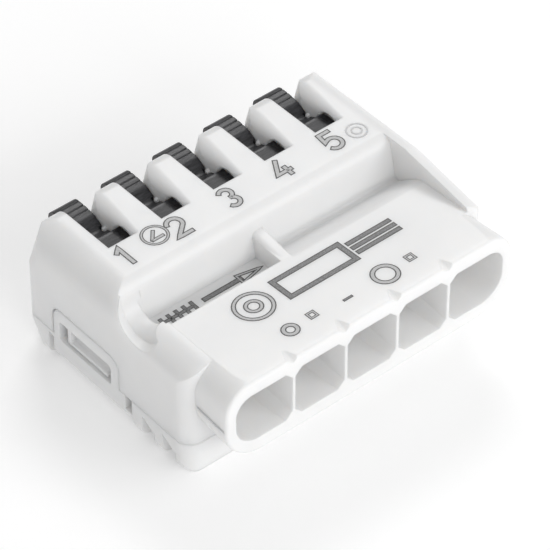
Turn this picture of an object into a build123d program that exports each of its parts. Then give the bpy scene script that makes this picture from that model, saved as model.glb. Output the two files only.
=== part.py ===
from build123d import *
import math
import os

# Five-pole lever wire connector: white two-part shell, one spring clamp and one
# pull-up lever for each wire, and a busbar that joins the poles.
# +X runs along the row of wire entries, the entries face -Y, +Z is up.
# The origin is the centre of the footprint on the underside. Units are mm.

# Driving dimensions
POLES = 5
PITCH = 5.2                  # spacing of the wire entries
WIDTH = 30.2                 # shell width along the row
DEPTH = 25.4                 # front of the entry nose to the lever tips
SEAM_HEIGHT = 3.0            # top of the base cover's wall
BODY_FRONT = 3.85            # the nose stands this far out of the body
BODY_REAR = 24.3             # rear wall, measured from the nose's front face
NOSE_WIDTH = 28.8
NOSE_LOW = 3.5
NOSE_HIGH = 11.15
NOSE_TOP_RADIUS = 2.4
NOSE_LOW_RADIUS = 3.6
MOUTH_LOW = 4.95
MOUTH_HIGH = 9.85
PANEL_FRONT_TOP = 12.25      # height of the top panel at the step
PANEL_REAR_TOP = 12.0        # height of the top panel at the rear edge
DECK_FRONT_TOP = 11.17
DECK_REAR = 9.4              # the deck ends here, at the strip gauge
DECK_REAR_TOP = 10.4
CREASE = 12.35               # foot of the step
STEP_TOP = 13.3              # head of the step
GAUGE_FLOOR = 8.6
RAMP_START = 7.0             # the deck begins to roll over into the ramp
RAMP_FLOOR = 8.25
END_WALL = 1.9               # thickness of the walls at both ends of the deck
SLOT_WIDTH = 2.54
SLOT_FRONT = 17.56
SLOT_FLOOR = 8.9
LEVER_WIDTH = 2.4
PIVOT_DEPTH = 18.9
PIVOT_HEIGHT = 10.25
TRUNNION_RADIUS = 1.3
PIVOT_CLEARANCE = 0.05
POCKET_BEVEL = 0.15          # edge of the trunnion pockets
TOP_SIDE_RADIUS = 2.2        # rounding of the shell's long top side edges
REAR_LEFT_RADIUS = 3.0       # the left one opens out towards the rear
CORNER_START = 8.0           # the rear left corner is fuller above this height
CORNER_TOP_RADIUS = 4.4
REAR_EDGE_RADIUS = 1.7
UPRIGHT_RADIUS = 1.4         # the shell's upright corners
STEP_RADIUS = 1.3            # rounding along the head of the step
DIVIDER = 0.28               # web between two wire entries at the mouth
GUSSET_LEFT = 1.25           # the rib beside the gauge, measured left of the middle
GUSSET_RIGHT = 0.25
GAUGE_END = 12.6             # inner face of the wall that closes the gauge's left end
LIP_HEIGHT = 0.35            # the deck's left lip, highest beside the notch
LIP_INNER = 12.35            # the lip's and left end wall's inner face
STEP_END = 14.1              # the step's head runs this far into that wall
SHOULDER_SPAN = 2.7          # flat curve outside that lip
SHOULDER_DROP = 1.6
CHAMBER_WIDTH = 3.8
CHAMBER_FRONT = 14.3
CHAMBER_REAR = 22.6
CHAMBER_ROOF = 11.1
WIRE_HOLE_RADIUS = 1.35
WIRE_HOLE_HEIGHT = 6.45
FLOOR_THICKNESS = 0.9
SEAM_GAP = 0.05
TONGUE_FRONT = 12.35
TONGUE_REAR = 20.6
TONGUE_TOP = 5.95
TONGUE_THICKNESS = 0.9
WINDOW_FRONT = 13.3          # window in the tongue
WINDOW_REAR = 19.8
WINDOW_LOW = 2.75
WINDOW_HIGH = 4.75
STRIP_THICKNESS = 0.3        # spring steel
NUB_RADIUS = 0.3             # bump that holds the closed lever
NUB_DEPTH = 21.3
NUB_ORBIT = 2.42             # the bump's distance from the lever's pivot

HALF_WIDTH = WIDTH / 2
LAST_POLE = (POLES - 1) / 2 * PITCH
BUSBAR_HALF = LAST_POLE + 2.1


def y_at(depth):
    """Row position of a depth measured back from the nose's front face."""
    return depth - DEPTH / 2


def pole_x(index):
    return (index - (POLES - 1) / 2) * PITCH


def side_prism(points, x_low, x_high):
    """Prism along X from a side outline of (depth, height) points."""
    outline = Polyline(*[(y_at(d), h) for d, h in points], close=True)
    return extrude(Plane.YZ.offset(x_low) * make_face(outline), x_high - x_low)


def front_prism(face, depth_low, depth_high):
    """Prism along Y from a face drawn in (x, height)."""
    placed = Plane.XZ.offset(-y_at(depth_high)) * face
    return extrude(placed, depth_high - depth_low)


def block(x_low, x_high, depth_low, depth_high, low, high):
    size = (x_high - x_low, depth_high - depth_low, high - low)
    centre = ((x_low + x_high) / 2, y_at((depth_low + depth_high) / 2), (low + high) / 2)
    return Pos(*centre) * Box(*size)


def cross_cylinder(radius, x_low, x_high, depth, height):
    """Cylinder lying along X."""
    centre = ((x_low + x_high) / 2, y_at(depth), height)
    return Pos(*centre) * Rot(0, 90, 0) * Cylinder(radius, x_high - x_low)


def both_sides(shape):
    return shape + mirror(shape, about=Plane.YZ)


def panel_height(depth):
    slope = (PANEL_REAR_TOP - PANEL_FRONT_TOP) / (23.1 - 13.5)
    return PANEL_FRONT_TOP + slope * (depth - 13.5)


def shell_plan(low, high, radius=UPRIGHT_RADIUS):
    """Block with the shell's footprint and round upright corners."""
    middle = y_at((BODY_FRONT + BODY_REAR) / 2)
    face = Pos(0, middle, low) * RectangleRounded(WIDTH, BODY_REAR - BODY_FRONT, radius)
    return extrude(face, high - low)


def nearest_vertex(face, x, y):
    return face.vertices().sort_by(lambda v: math.hypot(v.X - x, v.Y - y))[0]


def rounded_section(depth, top, left_radius, right_radius):
    """Cross-section of the shell at one depth, with rounded upper corners."""
    face = Pos(0, top / 2) * Rectangle(WIDTH, top)
    face = fillet(nearest_vertex(face, -HALF_WIDTH, top), left_radius)
    face = fillet(nearest_vertex(face, HALF_WIDTH, top), right_radius)
    return Plane.XZ.offset(-y_at(depth)) * face


def body_block():
    """The housing's outer block, rounded along its top edges."""
    front = y_at(BODY_FRONT)
    rear = y_at(BODY_REAR)
    low = SEAM_HEIGHT + SEAM_GAP
    crown = PANEL_FRONT_TOP + 0.05
    tops = [
        (2.0, 10.95, TOP_SIDE_RADIUS),
        (BODY_FRONT + 0.6, 11.2, TOP_SIDE_RADIUS),
        (11.4, crown, TOP_SIDE_RADIUS),
        (14.5, panel_height(14.5), 2.5),
        (DEPTH, panel_height(DEPTH), REAR_LEFT_RADIUS),
    ]
    sections = [rounded_section(depth, top, left, TOP_SIDE_RADIUS) for depth, top, left in tops]
    along = loft(sections, ruled=True)

    side = make_face(
        Polyline(
            (front, low),
            (front, 11.15),
            (y_at(11.4), crown + 0.01),
            (y_at(14.5), panel_height(14.5) + 0.01),
            (rear, panel_height(BODY_REAR) + 0.01),
            (rear, low),
            close=True,
        )
    )
    side = fillet(nearest_vertex(side, front, 11.15), 0.8)
    side = fillet(nearest_vertex(side, rear, panel_height(BODY_REAR)), REAR_EDGE_RADIUS)
    side_block = extrude(Plane.YZ * side, HALF_WIDTH + 1, both=True)
    return shell_plan(low, crown + 1) & along & side_block


def corner_outline(x, side, height, radius):
    """Waste outside a rounded rear corner at x, whose solid lies on the given side."""
    reach = 0.4
    rear = y_at(BODY_REAR)
    size = radius + reach
    inset = (radius - reach) / 2
    square = Pos(x + side * inset, rear - inset) * Rectangle(size, size)
    kept = Pos(x + side * radius, rear - radius) * Circle(radius)
    return Pos(0, 0, height) * (square - kept)


def rear_corner_cutter(x, side, low, low_radius, high, high_radius):
    """Rounds an upright rear corner with a radius that changes with height."""
    low_outline = corner_outline(x, side, low, low_radius)
    high_outline = corner_outline(x, side, high, high_radius)
    return loft([low_outline, high_outline], ruled=True)


def rear_corner_clearance():
    """Rounds the rear left corner more and more towards the top."""
    low_radius = UPRIGHT_RADIUS - 0.1
    high = PANEL_FRONT_TOP + 0.5
    return rear_corner_cutter(-HALF_WIDTH, 1, CORNER_START, low_radius, high, CORNER_TOP_RADIUS)


def shoulder_section(depth, top):
    """Cross-section under the left shoulder, which falls to the side in a flat curve."""
    left = -HALF_WIDTH
    low = top - SHOULDER_DROP
    corner = Pos(left + SHOULDER_SPAN / 2, top - SHOULDER_DROP / 2)
    corner *= Rectangle(SHOULDER_SPAN, SHOULDER_DROP)
    curve = Pos(left + SHOULDER_SPAN, low) * Ellipse(SHOULDER_SPAN, SHOULDER_DROP)
    face = Pos(0, top / 2) * Rectangle(WIDTH, top)
    return Plane.XZ.offset(-y_at(depth)) * (face - (corner - curve))


def left_shoulder_clearance():
    """Lowers the left end wall beside the deck to a soft shoulder with a small lip."""
    heights = [
        (BODY_FRONT - 1.5, DECK_FRONT_TOP - 0.32),
        (BODY_FRONT, DECK_FRONT_TOP - 0.3),
        (DECK_REAR + 1.2, DECK_REAR_TOP + LIP_HEIGHT),
    ]
    keep = loft([shoulder_section(depth, top) for depth, top in heights], ruled=True)
    region = block(-HALF_WIDTH - 1, -LIP_INNER, BODY_FRONT - 1, DECK_REAR + 0.9, 6, 15)
    return region - keep


def nose_face(growth):
    height = NOSE_HIGH - NOSE_LOW + growth
    face = Pos(0, (NOSE_HIGH + NOSE_LOW) / 2) * Rectangle(NOSE_WIDTH + growth, height)
    face = fillet(face.vertices().group_by(Axis.Y)[-1], NOSE_TOP_RADIUS)
    return fillet(face.vertices().group_by(Axis.Y)[0], NOSE_LOW_RADIUS)


def nose():
    """Round-ended block that holds the wire entries, slightly waisted at the body."""
    front_face = Plane.XZ.offset(-y_at(0)) * nose_face(0)
    back_face = Plane.XZ.offset(-y_at(4.3)) * nose_face(-0.4)
    solid = loft([front_face, back_face])
    rim = solid.edges().group_by(Axis.Y)[0]
    return fillet(rim, 0.25)


def entry_face(index, width, height, corner):
    """Outline of a wire entry: chamfered corners, end entries rounded outwards."""
    x = pole_x(index)
    middle = (MOUTH_LOW + MOUTH_HIGH) / 2
    half = width / 2
    face = Pos(x, middle) * Rectangle(width, height)
    if 0 < index < POLES - 1:
        return chamfer(face.vertices(), corner)
    side = -1 if index == 0 else 1
    extra = 0.6
    face = Pos(x + side * extra / 2, middle) * Rectangle(width + extra, height)
    by_side = face.vertices().sort_by(lambda v: side * v.X)
    face = chamfer(by_side[:2], corner)
    outer = x + side * (half + extra)
    face = fillet(nearest_vertex(face, outer, middle + half), height * 0.32)
    return fillet(nearest_vertex(face, outer, middle - half), height * 0.46)


def wire_entry(index):
    """Tapering funnel, square guide for the insulation and round hole for the bare wire."""
    x = pole_x(index)
    middle = (MOUTH_LOW + MOUTH_HIGH) / 2
    mouth_height = MOUTH_HIGH - MOUTH_LOW
    mouth = Plane.XZ.offset(-y_at(-0.1)) * entry_face(index, PITCH - DIVIDER, mouth_height, 0.65)
    guide_start = Plane.XZ.offset(-y_at(3.6)) * entry_face(index, 4.5, 4.45, 0.9)
    guide_end = Plane.XZ.offset(-y_at(7.4)) * entry_face(index, 4.4, 4.4, 0.9)
    neck_start = Plane.XZ.offset(-y_at(7.4)) * (Pos(x, middle) * Circle(2.1))
    round_hole = Pos(x, WIRE_HOLE_HEIGHT) * Circle(WIRE_HOLE_RADIUS)
    hole_start = Plane.XZ.offset(-y_at(9.6)) * round_hole
    passage = loft([mouth, guide_start]) + loft([guide_start, guide_end])
    passage += loft([neck_start, hole_start])
    return passage + front_prism(round_hole, 9.6, CHAMBER_FRONT + 0.2)


def step_line_depth(height):
    """Depth of the leaning step face at one height."""
    rise = (height - GAUGE_FLOOR) / (panel_height(STEP_TOP) - GAUGE_FLOOR)
    return CREASE + rise * (STEP_TOP - CREASE)


def deck_clearance():
    """Everything above the deck and in front of the step, between the end walls."""
    inner = HALF_WIDTH - END_WALL
    top = panel_height(STEP_TOP)
    outline = Polyline(
        (y_at(-0.5), DECK_FRONT_TOP + 0.04),
        (y_at(DECK_REAR), DECK_REAR_TOP),
        (y_at(step_line_depth(DECK_REAR_TOP)), DECK_REAR_TOP),
        (y_at(STEP_TOP), top),
        (y_at(STEP_TOP + 2.4), panel_height(STEP_TOP + 2.4) + 0.02),
        (y_at(STEP_TOP + 2.4), 15),
        (y_at(-0.5), 15),
        close=True,
    )
    face = make_face(outline)
    face = fillet(nearest_vertex(face, y_at(STEP_TOP), top), STEP_RADIUS)
    return extrude(Plane.YZ.offset(-LIP_INNER) * face, LIP_INNER + inner)


def step_end_clearance():
    """Carries the step and its rounded head on into the left end wall."""
    low = DECK_REAR_TOP + LIP_HEIGHT + 0.1
    top = panel_height(STEP_TOP)
    outline = Polyline(
        (y_at(6), low),
        (y_at(step_line_depth(low)), low),
        (y_at(STEP_TOP), top),
        (y_at(STEP_TOP + 2.4), panel_height(STEP_TOP + 2.4) + 0.02),
        (y_at(STEP_TOP + 2.4), 15),
        (y_at(6), 15),
        close=True,
    )
    face = fillet(nearest_vertex(make_face(outline), y_at(STEP_TOP), top), STEP_RADIUS)
    return extrude(Plane.YZ.offset(-STEP_END) * face, STEP_END - LIP_INNER + 0.1)


def gauge_trough():
    """Strip-length gauge on the left half: flat floor, upright front wall."""
    points = [
        (DECK_REAR, 11.0),
        (DECK_REAR, GAUGE_FLOOR),
        (CREASE, GAUGE_FLOOR),
        (step_line_depth(11.0), 11.0),
    ]
    return side_prism(points, -GAUGE_END, -GUSSET_LEFT)


def ramp_trough():
    """Right half of the trough: its floor runs up to the deck."""
    points = [
        (RAMP_START, 11.2),
        (RAMP_START, 10.62),
        (DECK_REAR + 0.2, DECK_REAR_TOP - 0.02),
        (CREASE, RAMP_FLOOR),
        (step_line_depth(11.2), 11.2),
    ]
    face = make_face(Polyline(*[(y_at(d), h) for d, h in points], close=True))
    face = fillet(nearest_vertex(face, y_at(DECK_REAR + 0.2), DECK_REAR_TOP), 2.2)
    face = fillet(nearest_vertex(face, y_at(CREASE), RAMP_FLOOR), 0.4)
    low = -GUSSET_RIGHT
    return extrude(Plane.YZ.offset(low) * face, HALF_WIDTH - END_WALL - low)


def middle_gusset():
    """Rib that stops the gauge: a soft-edged bridge from the deck to the step."""
    points = [
        (DECK_REAR - 0.3, 8),
        (DECK_REAR - 0.3, DECK_REAR_TOP),
        (DECK_REAR + 0.2, DECK_REAR_TOP),
        (STEP_TOP + 0.6, DECK_REAR_TOP + 0.55),
        (STEP_TOP + 0.6, 8),
    ]
    rib = side_prism(points, -GUSSET_LEFT - 0.02, -GUSSET_RIGHT + 0.02)
    upper = rib.edges().filter_by(lambda e: e.center().Z > DECK_REAR_TOP + 0.1)
    left_edge = upper.sort_by(Axis.X)[:1]
    return fillet(left_edge, 0.45)


def notch_section(x, depth, height, radius):
    """U-shaped opening, open at the top, at one place across the end wall."""
    ring = Pos(y_at(depth), height) * Circle(radius)
    opening = Pos(y_at(depth), height + 2) * Rectangle(2 * radius, 4)
    return Plane.YZ.offset(x) * (ring + opening)


def gauge_notch():
    """Flared U-shaped notch in the left end wall where the wire is laid into the gauge."""
    outside = notch_section(-HALF_WIDTH - 0.3, 9.55, 12.1, 2.6)
    crease = notch_section(-STEP_END, 10.6, 11.7, 2.45)
    shoulder = notch_section(-STEP_END + 0.35, 11.0, 11.6, 2.05)
    rim = notch_section(-STEP_END + 0.85, 11.25, 11.5, 1.8)
    inside = notch_section(-LIP_INNER + 0.1, 11.25, 11.5, 1.85)
    flare = loft([outside, crease], ruled=True)
    return flare + loft([crease, shoulder, rim, inside])


def ridge_corner(x, side, low_radius, high_radius):
    """Rounds the rear upright corner of a ridge, on one side of a lever slot."""
    wall = x + side * SLOT_WIDTH / 2
    high = PANEL_FRONT_TOP + 0.5
    return rear_corner_cutter(wall, side, SLOT_FLOOR, low_radius, high, high_radius)


def pocket_bevel(x, side):
    """Bevels the edge of a trunnion pocket where it opens into the slot."""
    radius = TRUNNION_RADIUS + PIVOT_CLEARANCE
    middle = x + side * (SLOT_WIDTH + POCKET_BEVEL) / 2
    cone = Cone(radius + POCKET_BEVEL, radius, POCKET_BEVEL)
    return Pos(middle, y_at(PIVOT_DEPTH), PIVOT_HEIGHT) * Rot(0, side * 90, 0) * cone


def lever_slot(index):
    x = pole_x(index)
    half = SLOT_WIDTH / 2
    slot = block(x - half, x + half, SLOT_FRONT, DEPTH, SLOT_FLOOR, 14)
    reach = half + 0.55
    radius = TRUNNION_RADIUS + PIVOT_CLEARANCE
    pocket = cross_cylinder(radius, x - reach, x + reach, PIVOT_DEPTH, PIVOT_HEIGHT)
    pocket += pocket_bevel(x, 1) + pocket_bevel(x, -1)
    return slot + pocket + ridge_corner(x, 1, 1.3, 3.2) + ridge_corner(x, -1, 0.5, 0.6)


def edge_rounding(edge_x, stations):
    """Cutter that rounds a long top edge whose solid lies on its right."""
    reach = 0.3
    sections = []
    for depth, top, radius in stations:
        size = radius + reach
        inset = (radius - reach) / 2
        square = Pos(edge_x + inset, top - inset) * Rectangle(size, size)
        kept = Pos(edge_x + radius, top - radius) * Circle(radius)
        sections.append(Plane.XZ.offset(-y_at(depth)) * (square - kept))
    return loft(sections, ruled=True)


def ridge_rounding(index):
    """Rounds the top edge to the right of a lever slot, more towards the rear."""
    ends = [(SLOT_FRONT, 0.45), (BODY_REAR + 0.6, 1.5)]
    stations = [(depth, panel_height(depth), radius) for depth, radius in ends]
    return edge_rounding(pole_x(index) + SLOT_WIDTH / 2, stations)


def chamber(index):
    """Room for one clamp spring, open to the base cover below."""
    x = pole_x(index)
    half = CHAMBER_WIDTH / 2
    tall = block(x - half, x + half, CHAMBER_FRONT, CHAMBER_REAR, 2, 8.6)
    half = SLOT_WIDTH / 2
    narrow = block(x - half, x + half, CHAMBER_FRONT + 0.4, CHAMBER_REAR, 8.5, CHAMBER_ROOF)
    return tall + narrow


def busbar_channel():
    return block(-BUSBAR_HALF - 0.2, BUSBAR_HALF + 0.2, CHAMBER_FRONT, 16.3, 2, 8.4)


def tongue_plate(low, gap, inner):
    """Slab with the latch tongue's outline, grown by a gap, from outside to an inner face."""
    points = [
        (TONGUE_FRONT - gap, low),
        (TONGUE_REAR + gap, low),
        (TONGUE_REAR + gap, TONGUE_TOP + gap),
        (TONGUE_FRONT - gap, TONGUE_TOP + gap),
    ]
    outline = make_face(Polyline(*[(y_at(d), h) for d, h in points], close=True))
    outline = fillet(outline.vertices().group_by(Axis.Y)[-1], 1.1 + gap)
    return extrude(Plane.YZ.offset(-HALF_WIDTH) * outline, HALF_WIDTH - inner)


def tongue_recess():
    """Side recess that takes the base cover's latch tongue."""
    return tongue_plate(2, 0.1, HALF_WIDTH - TONGUE_THICKNESS - 0.1)


def latch_nub():
    """L-shaped catch in the recess that snaps into the tongue's window."""
    deep = HALF_WIDTH - TONGUE_THICKNESS - 0.2
    outer = HALF_WIDTH - 0.15
    rail = Polyline(
        (-deep, SEAM_HEIGHT + SEAM_GAP),
        (-outer, SEAM_HEIGHT + SEAM_GAP),
        (-outer, 3.35),
        (-outer + 0.35, 3.5),
        (-deep, 4.3),
        close=True,
    )
    post = block(-outer, -deep, 18.45, 18.9, SEAM_HEIGHT + SEAM_GAP, WINDOW_HIGH - 0.1)
    return front_prism(make_face(rail), 13.9, 18.9) + post


def divider_dip(index):
    """Shallow V across the nose's top edge above one divider, fading backwards."""
    x = (pole_x(index) + pole_x(index + 1)) / 2
    top = NOSE_HIGH + 0.2
    wide = make_face(Polyline((x - 1.2, top), (x - 0.1, NOSE_HIGH - 0.5), (x + 0.75, top), close=True))
    narrow = make_face(Polyline((x - 0.5, top), (x - 0.1, NOSE_HIGH - 0.05), (x + 0.3, top), close=True))
    wide = fillet(nearest_vertex(wide, x - 0.1, NOSE_HIGH - 0.5), 0.25)
    narrow = fillet(nearest_vertex(narrow, x - 0.1, NOSE_HIGH - 0.05), 0.15)
    front_face = Plane.XZ.offset(-y_at(-0.2)) * wide
    back_face = Plane.XZ.offset(-y_at(1.5)) * narrow
    return loft([front_face, back_face])


def ridge_nub(index):
    """Small bump on the slot's wall that snaps over the closed lever."""
    x = pole_x(index) + SLOT_WIDTH / 2
    height = math.sqrt(NUB_ORBIT**2 - (NUB_DEPTH - PIVOT_DEPTH) ** 2)
    return Pos(x, y_at(NUB_DEPTH), PIVOT_HEIGHT - height) * Sphere(NUB_RADIUS)


def housing():
    shell = body_block()
    shell -= rear_corner_clearance()
    shell -= left_shoulder_clearance()
    shell += nose()
    shell -= deck_clearance()
    shell -= step_end_clearance()
    shell -= gauge_trough()
    shell -= ramp_trough()
    shell += middle_gusset()
    shell -= gauge_notch()
    for index in range(POLES):
        shell -= wire_entry(index)
        shell -= chamber(index)
        shell -= lever_slot(index)
        shell -= ridge_rounding(index)
    shell -= busbar_channel()
    for index in range(POLES - 1):
        shell -= divider_dip(index)
    shell -= both_sides(tongue_recess())
    shell += both_sides(latch_nub())
    for index in range(POLES):
        shell += ridge_nub(index)
    return shell


def grip_groove(rear, front, rear_top, front_top):
    """Scoop between two grip lobes, deepest at the bottom and highest at its rear."""
    deep = HALF_WIDTH - 1.25
    points = [(rear, -1), (rear, rear_top), (front, front_top), (front, -1)]
    opening = side_prism(points, -HALF_WIDTH - 1, -deep)
    outline = Polyline(
        (-HALF_WIDTH - 1, -1),
        (-HALF_WIDTH - 1, 2.8),
        (-HALF_WIDTH + 0.1, 2.8),
        (-HALF_WIDTH + 1.0, 1.9),
        (-deep, -0.1),
        (-deep, -1),
        close=True,
    )
    return opening & front_prism(make_face(outline), front - 0.1, rear + 0.1)


def base_block():
    """Outer block of the base cover with rounded lower edges."""
    block_face = Polyline(
        (-HALF_WIDTH, 0),
        (HALF_WIDTH, 0),
        (HALF_WIDTH, SEAM_HEIGHT),
        (-HALF_WIDTH, SEAM_HEIGHT),
        close=True,
    )
    section = make_face(block_face)
    section = fillet(section.vertices().group_by(Axis.Y)[0], 1.0)
    front = y_at(0)
    rear = y_at(BODY_REAR)
    corners = [(front, 0), (rear, 0), (rear, SEAM_HEIGHT), (front, SEAM_HEIGHT)]
    side = make_face(Polyline(*corners, close=True))
    side = fillet(nearest_vertex(side, rear, 0), 1.2)
    block_shape = front_prism(section, 0, DEPTH) & shell_plan(0, SEAM_HEIGHT)
    block_shape &= extrude(Plane.YZ * side, HALF_WIDTH + 1, both=True)
    rim = block_shape.edges().group_by(Axis.Z)[-1]
    return chamfer(rim, 0.12)


def tongue():
    """Latch tongue with softened outer edges and a window."""
    plate = tongue_plate(1.15, 0, HALF_WIDTH - TONGUE_THICKNESS)
    plate = chamfer(plate.edges().group_by(Axis.X)[0], 0.12)
    face = Pos(y_at((WINDOW_FRONT + WINDOW_REAR) / 2), (WINDOW_LOW + WINDOW_HIGH) / 2)
    face *= RectangleRounded(WINDOW_REAR - WINDOW_FRONT, WINDOW_HIGH - WINDOW_LOW, 0.35)
    return plate - extrude(Plane.YZ.offset(-HALF_WIDTH - 1) * face, 3)


def base_cover():
    tray = base_block()
    low_corner = rear_corner_cutter(-HALF_WIDTH, 1, -0.3, 3.4, 2.5, UPRIGHT_RADIUS - 0.1)
    tray -= both_sides(low_corner)
    cavity = HALF_WIDTH - 1.5
    tray -= block(-cavity, cavity, 5.4, CHAMBER_REAR, FLOOR_THICKNESS, SEAM_HEIGHT + 1)
    inner = HALF_WIDTH - TONGUE_THICKNESS
    cuts = block(-HALF_WIDTH - 1, -inner, WINDOW_FRONT, WINDOW_REAR, WINDOW_LOW, SEAM_HEIGHT + 1)
    cuts += grip_groove(9.5, 7.95, 2.3, 1.4)
    cuts += grip_groove(7.0, 5.4, 2.3, 1.4)
    cuts += grip_groove(21.3, TONGUE_REAR, 2.7, 2.5)
    under = Polyline(
        (-HALF_WIDTH - 1, -1),
        (-HALF_WIDTH - 1, 1.15),
        (-HALF_WIDTH, 1.15),
        (-HALF_WIDTH + 0.9, -0.1),
        (-HALF_WIDTH + 0.9, -1),
        close=True,
    )
    cuts += front_prism(make_face(under), 10.6, TONGUE_REAR + 0.1)
    cuts += block(-HALF_WIDTH - 1, -HALF_WIDTH + 1.0, 10.75, 11.6, 1.5, SEAM_HEIGHT - 0.1)
    tray -= both_sides(cuts)
    tray += both_sides(tongue())
    return tray


def busbar():
    return block(-BUSBAR_HALF, BUSBAR_HALF, CHAMBER_FRONT + 0.1, 16.1, 7.5, 8.3)


def clamp_spring(index):
    """Bent strip: foot on the floor, back up the rear, clamping leg under the busbar.

    The leg dips below the pivot, where the opened lever's cam comes down.
    """
    path = Polyline(
        (y_at(14.9), 1.1),
        (y_at(21.9), 1.1),
        (y_at(21.9), 6.8),
        (y_at(17.6), 6.7),
        (y_at(15.2), 7.2),
    )
    path = fillet(path.vertices().filter_by(lambda v: v.X > y_at(21)), 0.8)
    strip = trace(path, STRIP_THICKNESS)
    half = 1.1
    return extrude(Plane.YZ.offset(pole_x(index) - half) * strip, 2 * half)


def lever_profile():
    """Side outline of a closed lever's arm, hub and cam."""
    end = DEPTH
    points = [
        (end, 10.72),
        (23.6, 10.74),
        (22.6, 10.62),
        (21.35, 10.0),
        (19.8, 10.65),
        (19.8, 10.85),
        (17.85, 11.1),
        (17.6, 10.3),
        (16.1, 9.75),
        (16.05, 9.1),
        (17.9, 9.0),
        (18.9, 8.8),
        (20.4, 9.2),
        (22.4, 9.25),
        (end, 9.3),
    ]
    face = make_face(Polyline(*[(y_at(d), h) for d, h in points], close=True))
    face = fillet(nearest_vertex(face, y_at(end), 10.72), 0.9)
    face = fillet(nearest_vertex(face, y_at(end), 9.3), 0.35)
    face = fillet(nearest_vertex(face, y_at(22.6), 10.62), 1.0)
    return fillet(nearest_vertex(face, y_at(21.35), 10.0), 0.8)


def nub_track(index):
    """Groove in the lever's side that lets it swing past the ridge's bump."""
    side = pole_x(index) + LEVER_WIDTH / 2
    deep = pole_x(index) + SLOT_WIDTH / 2 - NUB_RADIUS - 0.1
    ring = cross_cylinder(NUB_ORBIT + NUB_RADIUS + 0.1, deep, side + 1, PIVOT_DEPTH, PIVOT_HEIGHT)
    ring -= cross_cylinder(NUB_ORBIT - NUB_RADIUS - 0.1, deep - 1, side + 2, PIVOT_DEPTH, PIVOT_HEIGHT)
    return ring & block(deep - 1, side + 1, PIVOT_DEPTH + 1.5, DEPTH, 8, 12)


def lever(index):
    """Pull-up lever with D-shaped trunnions, a cam nose and a ribbed grip."""
    x = pole_x(index)
    half = LEVER_WIDTH / 2
    arm = extrude(Plane.YZ.offset(x - half) * lever_profile(), LEVER_WIDTH)
    for depth in (23.3, 23.9, 24.5):
        arm -= side_prism([(depth - 0.3, 11), (depth, 10.64), (depth + 0.3, 11)], x - 2, x + 2)
    arm -= nub_track(index)
    reach = SLOT_WIDTH / 2 + 0.48
    disc = cross_cylinder(TRUNNION_RADIUS, x - reach, x + reach, PIVOT_DEPTH, PIVOT_HEIGHT)
    above = block(x - reach - 0.1, x + reach + 0.1, 15, 22, PIVOT_HEIGHT + 0.6, 14)
    return arm + (disc - above)


def save(shape, name):
    export_step(shape, f"parts/{name}.step")


os.makedirs("parts", exist_ok=True)
save(housing(), "housing")
save(base_cover(), "base_cover")
save(busbar(), "busbar")
for number in range(POLES):
    save(clamp_spring(number), f"clamp_spring_{number + 1}")
    save(lever(number), f"lever_{number + 1}")
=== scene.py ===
# Five-pole lever wire connector: finishes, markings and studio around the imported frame.
import math

import bpy
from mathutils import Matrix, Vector


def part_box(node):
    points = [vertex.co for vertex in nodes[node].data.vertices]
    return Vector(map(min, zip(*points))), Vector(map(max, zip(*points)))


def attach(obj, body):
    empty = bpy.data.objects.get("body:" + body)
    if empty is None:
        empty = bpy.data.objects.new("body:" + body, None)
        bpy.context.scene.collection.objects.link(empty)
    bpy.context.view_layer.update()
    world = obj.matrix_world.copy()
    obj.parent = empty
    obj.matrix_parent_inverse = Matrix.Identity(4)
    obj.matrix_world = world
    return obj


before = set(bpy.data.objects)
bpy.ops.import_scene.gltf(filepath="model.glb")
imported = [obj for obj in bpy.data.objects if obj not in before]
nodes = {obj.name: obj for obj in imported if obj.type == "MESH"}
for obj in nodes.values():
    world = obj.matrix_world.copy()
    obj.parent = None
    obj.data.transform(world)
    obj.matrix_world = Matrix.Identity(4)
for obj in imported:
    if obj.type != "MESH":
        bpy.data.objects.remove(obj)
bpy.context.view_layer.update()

MM = 0.001
POLES = 5
SHELL = nodes["housing"]
LEFT, FRONT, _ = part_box("housing")[0]


def middle_x(node):
    low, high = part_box(node)
    return (low[0] + high[0]) / 2


POLE_X = [middle_x(f"lever_{i + 1}") / MM for i in range(POLES)]


# ---------------------------------------------------------------- materials
def grey(value):
    return (value, value, value)


def new_material(name):
    mat = bpy.data.materials.new(name)
    mat.use_nodes = True
    tree = mat.node_tree
    return mat, tree, tree.nodes["Principled BSDF"]


def noise(tree, scale, detail, roughness, stretch=(1, 1, 1)):
    """Noise in the object's own space; returns its value."""
    coords = tree.nodes.new("ShaderNodeTexCoord")
    mapping = tree.nodes.new("ShaderNodeMapping")
    mapping.inputs["Scale"].default_value = stretch
    tex = tree.nodes.new("ShaderNodeTexNoise")
    tex.inputs["Scale"].default_value = scale
    tex.inputs["Detail"].default_value = detail
    tex.inputs["Roughness"].default_value = roughness
    tree.links.new(coords.outputs["Object"], mapping.inputs["Vector"])
    tree.links.new(mapping.outputs["Vector"], tex.inputs["Vector"])
    return tex.outputs["Fac"]


def vary_colour(tree, shader, source, stops):
    """Base colour that drifts between two stops, each a noise value and its colour."""
    node = tree.nodes.new("ShaderNodeValToRGB")
    for element, (position, colour) in zip(node.color_ramp.elements, stops):
        element.position = position
        element.color = (*colour, 1)
    tree.links.new(source, node.inputs["Fac"])
    tree.links.new(node.outputs["Color"], shader.inputs["Base Color"])


def vary_roughness(tree, shader, source, low, high):
    node = tree.nodes.new("ShaderNodeMapRange")
    node.inputs["To Min"].default_value = low
    node.inputs["To Max"].default_value = high
    tree.links.new(source, node.inputs["Value"])
    tree.links.new(node.outputs["Result"], shader.inputs["Roughness"])


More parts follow.
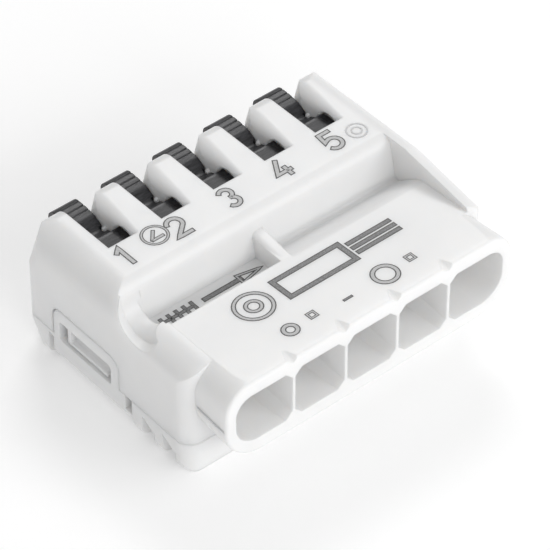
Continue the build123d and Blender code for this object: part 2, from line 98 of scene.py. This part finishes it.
def bump(tree, shader, source, distance, strength):
    node = tree.nodes.new("ShaderNodeBump")
    node.inputs["Distance"].default_value = distance
    node.inputs["Strength"].default_value = strength
    tree.links.new(source, node.inputs["Height"])
    tree.links.new(node.outputs["Normal"], shader.inputs["Normal"])
    return node


def soften_edges(tree, bump_node, radius):
    """Shades sharp edges as if they were rounded."""
    node = tree.nodes.new("ShaderNodeBevel")
    node.samples = 6
    node.inputs["Radius"].default_value = radius
    tree.links.new(node.outputs["Normal"], bump_node.inputs["Normal"])


def white_plastic(name, edge_radius):
    """Slightly translucent satin plastic; an edge radius of 0 leaves the edges sharp."""
    mat, tree, shader = new_material(name)
    cloud = noise(tree, scale=160, detail=3, roughness=0.5)
    vary_colour(tree, shader, cloud, [(0.3, grey(0.81)), (0.7, (0.845, 0.845, 0.842))])
    grain = noise(tree, scale=5200, detail=4, roughness=0.6)
    vary_roughness(tree, shader, grain, low=0.3, high=0.42)
    relief = bump(tree, shader, grain, distance=0.01 * MM, strength=0.35)
    if edge_radius > 0:
        soften_edges(tree, relief, edge_radius)
    shader.inputs["IOR"].default_value = 1.5
    shader.inputs["Subsurface Weight"].default_value = 0.5
    shader.inputs["Subsurface Radius"].default_value = (1.6 * MM, 1.5 * MM, 1.4 * MM)
    shader.inputs["Subsurface Scale"].default_value = 1.0
    return mat


def grey_plastic():
    """Dark plastic with flow streaks along the lever."""
    mat, tree, shader = new_material("dark_grey_plastic")
    streak = noise(tree, scale=4200, detail=6, roughness=0.8, stretch=(0.22, 1.4, 1.2))
    vary_colour(tree, shader, streak, [(0.38, (0.003, 0.003, 0.004)), (0.62, (0.04, 0.04, 0.045))])
    vary_roughness(tree, shader, streak, low=0.28, high=0.42)
    relief = bump(tree, shader, streak, distance=0.02 * MM, strength=0.6)
    soften_edges(tree, relief, 0.12 * MM)
    return mat


def ink(name, dark, light):
    """Printed or moulded marking with a fine grain between two greys."""
    mat, tree, shader = new_material(name)
    grain = noise(tree, scale=9000, detail=3, roughness=0.6)
    vary_colour(tree, shader, grain, [(0.35, grey(dark)), (0.65, grey(light))])
    vary_roughness(tree, shader, grain, low=0.5, high=0.7)
    return mat


def metal(name, dark, light, smoothest, roughest):
    """Rolled strip with fine streaks."""
    mat, tree, shader = new_material(name)
    streak = noise(tree, scale=900, detail=4, roughness=0.6, stretch=(0.1, 3, 1))
    vary_colour(tree, shader, streak, [(0.3, dark), (0.7, light)])
    vary_roughness(tree, shader, streak, smoothest, roughest)
    shader.inputs["Metallic"].default_value = 1.0
    bump(tree, shader, streak, distance=0.01 * MM, strength=0.4)
    return mat


def floor_material():
    """Pale studio paper that glows a little, so that it stays nearly white."""
    mat, tree, shader = new_material("studio_floor")
    cloud = noise(tree, scale=6, detail=2, roughness=0.5)
    vary_colour(tree, shader, cloud, [(0.3, grey(0.87)), (0.7, grey(0.89))])
    shader.inputs["Roughness"].default_value = 0.8
    shader.inputs["Emission Color"].default_value = (1, 1, 1, 1)
    shader.inputs["Emission Strength"].default_value = 0.2
    return mat


WHITE = white_plastic("white_moulded_plastic", edge_radius=0.16 * MM)
FINE_WHITE = white_plastic("white_plastic_fine_relief", edge_radius=0)
LINE = ink("marking_line", dark=0.07, light=0.13)
PALE_FILL = ink("marking_pale_fill", dark=0.48, light=0.6)
GREY_FILL = ink("marking_grey_fill", dark=0.16, light=0.3)
GREY = grey_plastic()
TIN = metal("tinned_copper", (0.62, 0.59, 0.55), (0.74, 0.71, 0.66), smoothest=0.25, roughest=0.4)
STEEL = metal("spring_steel", (0.5, 0.5, 0.51), (0.66, 0.66, 0.67), smoothest=0.2, roughest=0.35)


def dress(name, mat):
    for entry in nodes[name].material_slots:
        entry.material = mat


dress("housing", WHITE)
dress("base_cover", WHITE)
dress("busbar", TIN)
for i in range(POLES):
    dress(f"clamp_spring_{i + 1}", STEEL)
    dress(f"lever_{i + 1}", GREY)


# ---------------------------------------------------------------- strokes on the shell
# Markings are laid out in millimetres: x along the row and depth back from the nose's front.
# A path is a list of such points, and whether it closes on itself.
STROKE_STEP = 0.3  # longest straight piece of a stroke
MITRE_LIMIT = 2.0  # most that a stroke widens at a corner
SINK = 0.01  # how far a stroke reaches into the shell
LINE_LIFT = 0.004  # how far an outline stands proud of the shell
FILL_LIFT = 0.009  # how far the core inside an outline stands proud
ABOVE_SHELL = 20 * MM


def segment(start, end):
    return [start, end], False


def rectangle(left, front, right, back):
    return [(left, front), (right, front), (right, back), (left, back)], True


def arc(centre, radius, start, end, count=14):
    """Points along an arc, in degrees anticlockwise from +x."""
    points = []
    for k in range(count + 1):
        angle = math.radians(start + (end - start) * k / count)
        points.append((centre[0] + radius * math.cos(angle), centre[1] + radius * math.sin(angle)))
    return points


def ring(centre, radius, count=28):
    """A full circle, as a closed path whose first point isn't repeated."""
    return arc(centre, radius, 0, 360 * (count - 1) / count, count - 1), True


def along_path(points, closed):
    """The same path with extra points, so that it can follow a curved surface."""
    pairs = list(zip(points, points[1:]))
    if closed:
        pairs.append((points[-1], points[0]))
    path = []
    for a, b in pairs:
        count = max(1, math.ceil(math.dist(a, b) / STROKE_STEP))
        for k in range(count):
            path.append((a[0] + (b[0] - a[0]) * k / count, a[1] + (b[1] - a[1]) * k / count))
    if not closed:
        path.append(points[-1])
    return path


def side_offsets(path, closed, half):
    """Left and right edge of a stroke, mitred at its corners."""
    count = len(path)
    edges = []
    for i, point in enumerate(path):
        before = path[i - 1] if (closed or i > 0) else point
        after = path[(i + 1) % count] if (closed or i < count - 1) else point
        directions = []
        for a, b in ((before, point), (point, after)):
            length = math.dist(a, b)
            if length > 0:
                directions.append(Vector(((b[0] - a[0]) / length, (b[1] - a[1]) / length)))
        mean = sum(directions, Vector((0, 0))).normalized()
        stretch = 1 / max(1 / MITRE_LIMIT, mean.dot(directions[0]))
        normal = Vector((-mean.y, mean.x)) * half * stretch
        left = (point[0] + normal.x, point[1] + normal.y)
        right = (point[0] - normal.x, point[1] - normal.y)
        edges.append((left, right))
    return edges


def extended(points, extra):
    """An open path made longer at both ends."""
    first = Vector(points[0]) + (Vector(points[0]) - Vector(points[1])).normalized() * extra
    last = Vector(points[-1]) + (Vector(points[-1]) - Vector(points[-2])).normalized() * extra
    return [tuple(first), *points[1:-1], tuple(last)]


def meet_housing(start, direction):
    """The first point where a ray meets the housing, in metres, or None."""
    inverse = SHELL.matrix_world.inverted()
    hit, place, _, _ = SHELL.ray_cast(inverse @ start, inverse.to_3x3() @ direction)
    return SHELL.matrix_world @ place if hit else None


def on_housing(x, depth, lift):
    """Point above the housing's upper surface, raised by lift; all three are in millimetres."""
    start = Vector((x * MM, FRONT + depth * MM, ABOVE_SHELL))
    place = meet_housing(start, Vector((0, 0, -1)))
    if place is None:
        raise ValueError(f"no surface below {x}, {depth}")
    return place + Vector((0, 0, lift * MM))


def stroke_mesh(paths, width, lift):
    """Flat strokes that lie on the housing and reach just into it.

    Each point of a path gives four vertices: left top, left foot, right top, right foot.
    """
    verts = []
    faces = []
    for points, closed in paths:
        edges = side_offsets(along_path(points, closed), closed, width / 2)
        first = len(verts)
        for left, right in edges:
            for x, depth in (left, right):
                top = on_housing(x, depth, lift)
                verts.append(top)
                verts.append(top - Vector((0, 0, (lift + SINK) * MM)))
        count = len(edges)
        for i in range(count if closed else count - 1):
            a = first + 4 * i
            b = first + 4 * ((i + 1) % count)
            faces.append((a, a + 2, b + 2, b))
            faces.append((a + 1, b + 1, b + 3, a + 3))
            faces.append((a, b, b + 1, a + 1))
            faces.append((a + 2, a + 3, b + 3, b + 2))
        if not closed:
            end = first + 4 * (count - 1)
            faces.append((first, first + 1, first + 3, first + 2))
            faces.append((end, end + 2, end + 3, end + 1))
    return verts, faces


def add_piece(name, verts, faces, mat):
    mesh = bpy.data.meshes.new(name)
    mesh.from_pydata(verts, [], faces)
    mesh.update()
    piece = bpy.data.objects.new(name, mesh)
    bpy.context.scene.collection.objects.link(piece)
    piece.data.materials.append(mat)
    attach(piece, "shell")
    return piece


def outlined(name, paths, width, fill, outline=0.1):
    """Strokes drawn as a dark outline round a paler core."""
    wide = [(points if closed else extended(points, outline), closed) for points, closed in paths]
    verts, faces = stroke_mesh(wide, width + 2 * outline, LINE_LIFT)
    add_piece(f"{name}_line", verts, faces, LINE)
    verts, faces = stroke_mesh(paths, width, FILL_LIFT)
    add_piece(f"{name}_fill", verts, faces, fill)


# ---------------------------------------------------------------- markings
FINE_OUTLINE = 0.08

# Strokes of each digit, in a cell one unit wide and one and a half high.
DIGITS = {
    1: [[(0.25, 1.15), (0.6, 1.5), (0.6, 0)]],
    2: [[*arc((0.5, 1.04), 0.46, 170, -38), (0.03, 0), (1, 0)]],
    3: [[*arc((0.48, 1.12), 0.38, 150, -90), *arc((0.48, 0.37), 0.37, 90, -150)]],
    4: [[(0.66, 1.5), (0.02, 0.42), (1, 0.42)], [(0.72, 0.8), (0.72, 0)]],
    5: [[(0.9, 1.5), (0.16, 1.5), (0.08, 0.8), *arc((0.48, 0.47), 0.47, 118, -150)]],
}


def pole_numbers():
    """The poles are numbered 1 to 5, each a little left of its lever."""
    size = 1.4
    shift = -0.9
    foot = 14.95
    for digit, x in enumerate(POLE_X, start=1):
        left = x + shift - size / 2
        paths = []
        for stroke in DIGITS[digit]:
            paths.append(([(left + size * u, foot + size * v) for u, v in stroke], False))
        outlined(f"pole_number_{digit}", paths, 0.28, PALE_FILL)


def lever_pictogram():
    """Lever swinging open, drawn in a ring between the first two levers."""
    x = POLE_X[0] + 2.35
    hinge = (x - 0.55, 16.0)
    closed_tip = (x + 0.55, 16.0)
    open_tip = (x + 0.2, 16.9)
    outlined("lever_pictogram_ring", [ring((x, 16.4), 1.05)], 0.12, PALE_FILL, FINE_OUTLINE)
    swing = [segment(hinge, closed_tip), segment(hinge, open_tip)]
    outlined("lever_pictogram_arm", swing, 0.18, PALE_FILL, FINE_OUTLINE)


def wire_pictogram():
    """Stripped wire on the deck: insulation on the left, bare strands on the right."""
    sleeve = rectangle(left=-3.4, front=5.6, right=3.2, back=7.9)
    outlined("wire_sleeve", [sleeve], 0.34, GREY_FILL)
    strand_pitch = 0.65
    depths = [6.1 + strand_pitch * k for k in range(3)]
    strands = [segment((3.75, depth), (8.1, depth)) for depth in depths]
    outlined("wire_strands", strands, 0.3, GREY_FILL)


def conductor_pictogram():
    """Round conductor inside its insulation, seen end on."""
    centre = (-6.2, 6.7)
    insulation = 1.55
    core = 0.62
    outlined("conductor_pictogram", [ring(centre, insulation), ring(centre, core)], 0.2, PALE_FILL)


def size_pictogram():
    """Thinnest to thickest conductor, along the front of the deck."""
    conductors = {"thin": ((-5.9, 2.7), 0.55), "thick": ((3.6, 2.7), 1.0)}
    for name, (centre, radius) in conductors.items():
        outlined(f"{name}_conductor", [ring(centre, radius)], 0.26, PALE_FILL)
    side = 0.6
    for name, left in (("thin", -3.9), ("thick", 6.0)):
        square = rectangle(left, front=2.6, right=left + side, back=3.2)
        outlined(f"{name}_conductor_area", [square], 0.1, PALE_FILL, FINE_OUTLINE)
    outlined("size_dash", [segment((-0.75, 2.5), (0.05, 2.5))], 0.12, GREY_FILL, FINE_OUTLINE)


def gauge_marks():
    """Strip-length gauge on the trough's floor: arrow towards the rib and ruler ticks."""
    middle = 11.3
    outlined("gauge_arrow_shaft", [segment((-7.4, middle), (-3.6, middle))], 0.3, GREY_FILL)
    head = [(-3.8, 10.85), (-1.7, middle), (-3.8, 11.75)]
    outlined("gauge_arrow_head", [(head, True)], 0.12, PALE_FILL)
    first_tick = -12.1
    tick_pitch = 0.75
    ticks_x = [first_tick + tick_pitch * k for k in range(6)]
    ruler = [segment((x, 10.8), (x, 11.8)) for x in ticks_x]
    ruler.append(segment((first_tick, middle), (ticks_x[-1], middle)))
    outlined("gauge_ruler", ruler, 0.22, GREY_FILL, outline=0.07)


def ejector_mark():
    """Raised moulding rings near the right end of the top panel."""
    centre = (11.8, 15.6)
    for name, radius in (("outer", 0.85), ("inner", 0.42)):
        verts, faces = stroke_mesh([ring(centre, radius)], width=0.14, lift=0.03)
        piece = add_piece(f"moulding_ring_{name}", verts, faces, FINE_WHITE)


def parting_ridge():
    """Fine moulding line round the nose's left end: a low bead with three sides."""
    height = 7.3
    start = 0.3
    length = 3.4
    count = 12
    crest = 0.09
    inset = 0.02
    rise = 0.09
    fall = 0.32
    places = []
    for k in range(count):
        depth = start + length * k / (count - 1)
        outside = Vector((LEFT - 2 * MM, FRONT + depth * MM, height * MM))
        place = meet_housing(outside, Vector((1, 0, 0)))
        if place is not None:
            places.append(place)
    verts = []
    for place in places:
        verts.append(place + Vector((inset * MM, 0, rise * MM)))
        verts.append(place + Vector((-crest * MM, 0, 0)))
        verts.append(place + Vector((inset * MM, 0, -fall * MM)))
    faces = []
    for i in range(len(places) - 1):
        a = 3 * i
        b = a + 3
        faces.append((a, a + 1, b + 1, b))
        faces.append((a + 1, a + 2, b + 2, b + 1))
        faces.append((a + 2, a, b, b + 2))
    faces.append((0, 2, 1))
    end = 3 * (len(places) - 1)
    faces.append((end, end + 1, end + 2))
    piece = add_piece("parting_ridge", verts, faces, FINE_WHITE)


pole_numbers()
lever_pictogram()
wire_pictogram()
conductor_pictogram()
size_pictogram()
gauge_marks()
ejector_mark()
parting_ridge()


# ---------------------------------------------------------------- studio, in metres
def make_floor():
    half = 3.0
    corners = [(-half, -half, 0), (half, -half, 0), (half, half, 0), (-half, half, 0)]
    mesh = bpy.data.meshes.new("floor")
    mesh.from_pydata(corners, [], [(0, 1, 2, 3)])
    floor = bpy.data.objects.new("floor", mesh)
    bpy.context.scene.collection.objects.link(floor)
    floor.data.materials.append(floor_material())


def area_light(name, place, aim, size, power):
    """Soft rectangular lamp at a place, turned to a point; power is in watts."""
    data = bpy.data.lights.new(name, "AREA")
    data.shape = "RECTANGLE"
    data.size = size[0]
    data.size_y = size[1]
    data.energy = power
    lamp = bpy.data.objects.new(name, data)
    lamp.location = place
    lamp.rotation_euler = (Vector(aim) - Vector(place)).to_track_quat("-Z", "Y").to_euler()
    bpy.context.scene.collection.objects.link(lamp)


def make_world(strength):
    world = bpy.data.worlds.new("studio")
    bpy.context.scene.world = world
    world.use_nodes = True
    background = world.node_tree.nodes["Background"]
    background.inputs["Color"].default_value = (1, 1, 1, 1)
    background.inputs["Strength"].default_value = strength


def make_camera():
    """Long-lens view onto the left front corner of the connector."""
    looking_down = 43.70
    turned_right = 39.88
    data = bpy.data.cameras.new("camera")
    data.lens = 256.6
    data.sensor_width = 36
    data.clip_start = 0.01
    camera = bpy.data.objects.new("camera", data)
    camera.location = (-0.14228, -0.17140, 0.21858)
    camera.rotation_euler = (math.radians(90 - looking_down), 0, math.radians(-turned_right))
    bpy.context.scene.collection.objects.link(camera)
    bpy.context.scene.camera = camera


make_floor()
make_camera()
make_world(strength=0.46)
area_light("key", place=(0.26, -0.38, 0.27), aim=(0, 0, 0.005), size=(0.30, 0.30), power=0.75)
area_light("front_fill", place=(-0.08, -0.45, 0.24), aim=(0, 0, 0.006), size=(0.30, 0.16), power=0.75)
area_light("overhead", place=(0.02, 0.06, 0.45), aim=(0, 0, 0.005), size=(0.35, 0.35), power=0.14)
area_light("rim", place=(0.22, 0.26, 0.33), aim=(0, 0, 0.005), size=(0.20, 0.12), power=0.5)
bpy.context.scene.view_settings.view_transform = "Standard"
